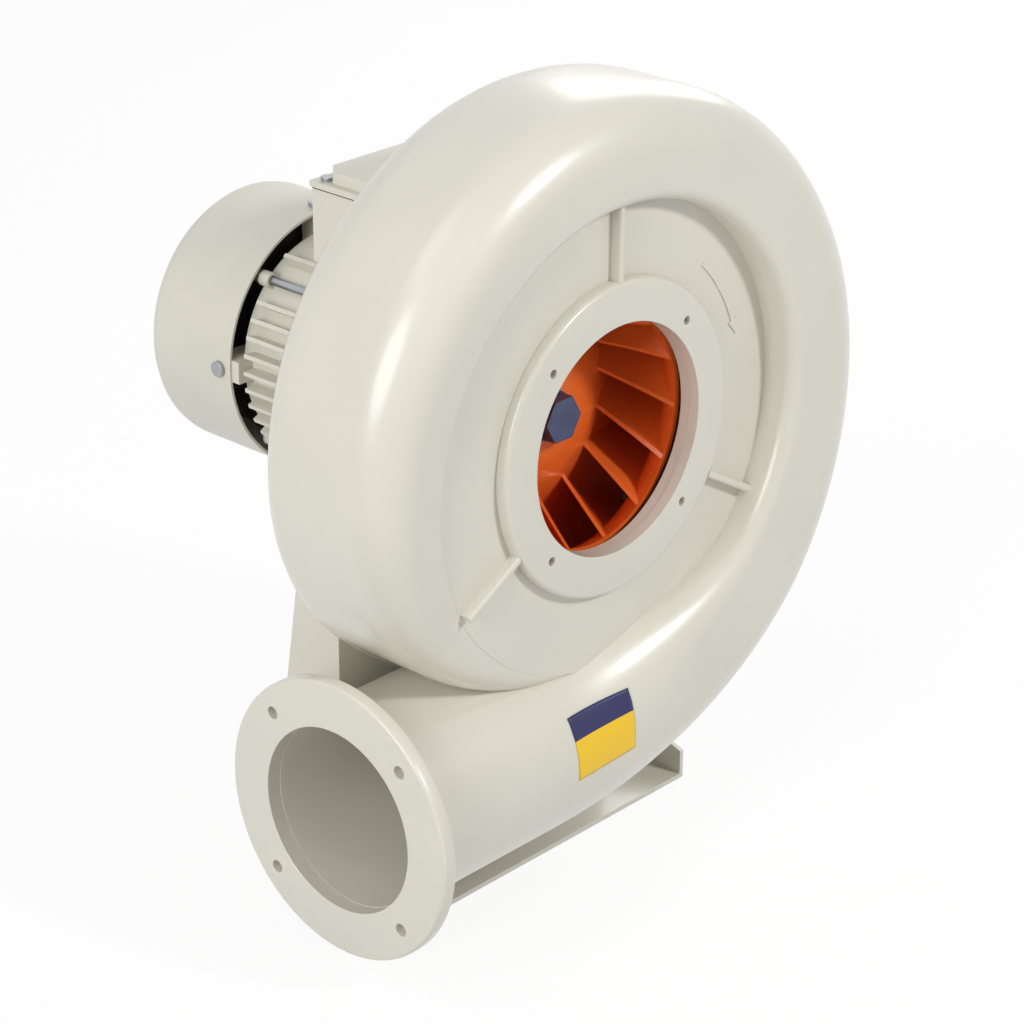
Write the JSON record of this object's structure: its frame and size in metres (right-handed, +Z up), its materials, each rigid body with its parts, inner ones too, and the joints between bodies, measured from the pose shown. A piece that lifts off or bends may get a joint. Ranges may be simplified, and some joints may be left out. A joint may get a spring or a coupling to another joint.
{
  "type": "centrifugal blower",
  "caption": "Direct-drive centrifugal blower: cast volute with axial inlet and flanged side outlet, orange impeller, finned flange motor with terminal box, sheet-metal stand.",
  "frame": {"origin": "centre of the base plate's slot pattern, on the floor, with the stand's web starting at y = 0 and the shaft above x = 0", "axes": "+Z up, -Y out of the inlet along the shaft, -X out of the outlet"},
  "size_m": [0.382, 0.327, 0.452],
  "materials": {
    "casing_enamel": "cast aluminium under semi-gloss pebble-beige enamel",
    "stand_enamel": "sheet steel under semi-gloss pebble-beige enamel",
    "motor_enamel": "cast and sheet aluminium under semi-gloss pebble-beige enamel",
    "impeller_enamel": "cast aluminium under orange enamel",
    "blackened_steel": "dark blued steel",
    "zinc_steel": "zinc-plated steel",
    "machined_steel": "ground and turned steel",
    "cast_aluminium": "bare cast aluminium",
    "winding_copper": "varnished copper wire",
    "terminal_brass": "turned brass",
    "gasket_rubber": "matt black nitrile rubber",
    "black_plastic": "matt black moulded polyamide"
  },
  "bodies": {
    "root": {"volute_casing": "casing_enamel", "inlet_collar": "casing_enamel", "outlet_flange": "casing_enamel", "casing_gasket": "gasket_rubber", "rear_cover": "casing_enamel", "cover_screws": "zinc_steel", "pedestal": "stand_enamel", "flange_bolts": "zinc_steel", "flange_washers": "zinc_steel", "drive_end_shield": "motor_enamel", "shaft_seal": "gasket_rubber", "motor_frame": "motor_enamel", "stator_core": "machined_steel", "stator_windings": "winding_copper", "rear_end_shield": "motor_enamel", "tie_bolts": "zinc_steel", "front_bearing_outer_race": "machined_steel", "rear_bearing_outer_race": "machined_steel", "preload_washer": "machined_steel", "fan_cowl": "motor_enamel", "cowl_screws": "zinc_steel", "terminal_box": "motor_enamel", "box_floor_gasket": "gasket_rubber", "box_screws": "zinc_steel", "terminal_block": "black_plastic", "terminal_studs": "terminal_brass", "terminal_links": "terminal_brass", "earth_screw": "terminal_brass", "lid_gasket": "gasket_rubber", "terminal_box_lid": "motor_enamel", "lid_screws": "zinc_steel", "gland_body": "black_plastic", "gland_seal": "gasket_rubber", "gland_cap": "black_plastic"},
    "rotor": {"motor_shaft": "machined_steel", "rotor_core": "machined_steel", "rotor_end_rings": "cast_aluminium", "impeller_spacer": "machined_steel", "impeller_key": "machined_steel", "impeller": "impeller_enamel", "impeller_washer": "blackened_steel", "impeller_bolt": "blackened_steel", "cooling_fan": "black_plastic", "fan_circlip": "zinc_steel", "front_bearing_inner_race": "machined_steel", "rear_bearing_inner_race": "machined_steel"},
    "front_balls": {"front_bearing_balls": "machined_steel", "front_bearing_cage": "terminal_brass"},
    "rear_balls": {"rear_bearing_balls": "machined_steel", "rear_bearing_cage": "terminal_brass"}
  },
  "joints": [
    {"name": "rotor_spin", "type": "hinge", "parent": "root", "child": "rotor", "pos_m": [0, 0, 0.265], "axis": [0, 1, 0], "continuous": true},
    {"name": "front_cage_spin", "type": "hinge", "parent": "root", "child": "front_balls", "pos_m": [0, 0, 0.265], "axis": [0, 1, 0], "continuous": true},
    {"name": "rear_cage_spin", "type": "hinge", "parent": "root", "child": "rear_balls", "pos_m": [0, 0, 0.265], "axis": [0, 1, 0], "continuous": true}
  ],
  "couplings": [
    {"joint": "front_cage_spin", "follows": "rotor_spin", "ratio": 0.3969},
    {"joint": "rear_cage_spin", "follows": "rotor_spin", "ratio": 0.3969}
  ]
}
